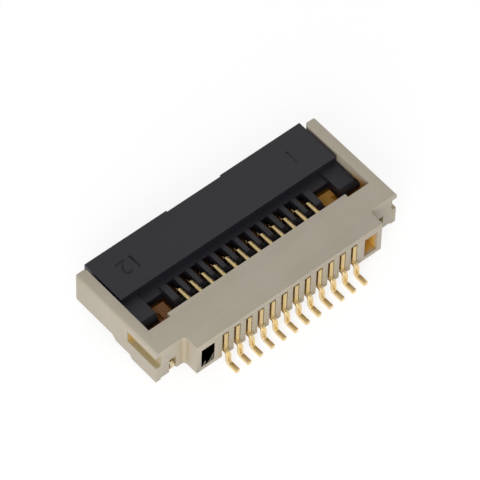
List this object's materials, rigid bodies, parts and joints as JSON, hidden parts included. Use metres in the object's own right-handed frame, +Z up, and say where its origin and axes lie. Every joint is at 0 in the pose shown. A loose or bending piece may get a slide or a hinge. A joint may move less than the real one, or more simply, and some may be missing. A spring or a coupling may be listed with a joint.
{
  "type": "fpc connector",
  "caption": "Flat flex cable connector for a circuit board: gull-wing solder leads at the back, cable slot at the front, flip lock over it.",
  "frame": {"origin": "on the board face under the middle of the whole part", "axes": "+X along the row of contacts, +Y towards the cable entry, +Z up from the board"},
  "size_m": [0.0102, 0.0056, 0.0017],
  "materials": {
    "housing_plastic": "satin",
    "lock_plastic": "matte",
    "contact_metal": "polished",
    "fitting_metal": "satin"
  },
  "bodies": {
    "base": {"housing": "housing_plastic", "left_fitting": "fitting_metal", "right_fitting": "fitting_metal", "contact_1": "contact_metal", "contact_2": "contact_metal", "contact_3": "contact_metal", "contact_4": "contact_metal", "contact_5": "contact_metal", "contact_6": "contact_metal", "contact_7": "contact_metal", "contact_8": "contact_metal", "contact_9": "contact_metal", "contact_10": "contact_metal", "contact_11": "contact_metal", "contact_12": "contact_metal"},
    "lock": {"lock": "lock_plastic"}
  },
  "joints": [
    {"name": "lock_flip", "type": "hinge", "parent": "base", "child": "lock", "pos_m": [0, -0.00003, 0.00113], "axis": [1, 0, 0], "range_deg": [0, 90]}
  ]
}
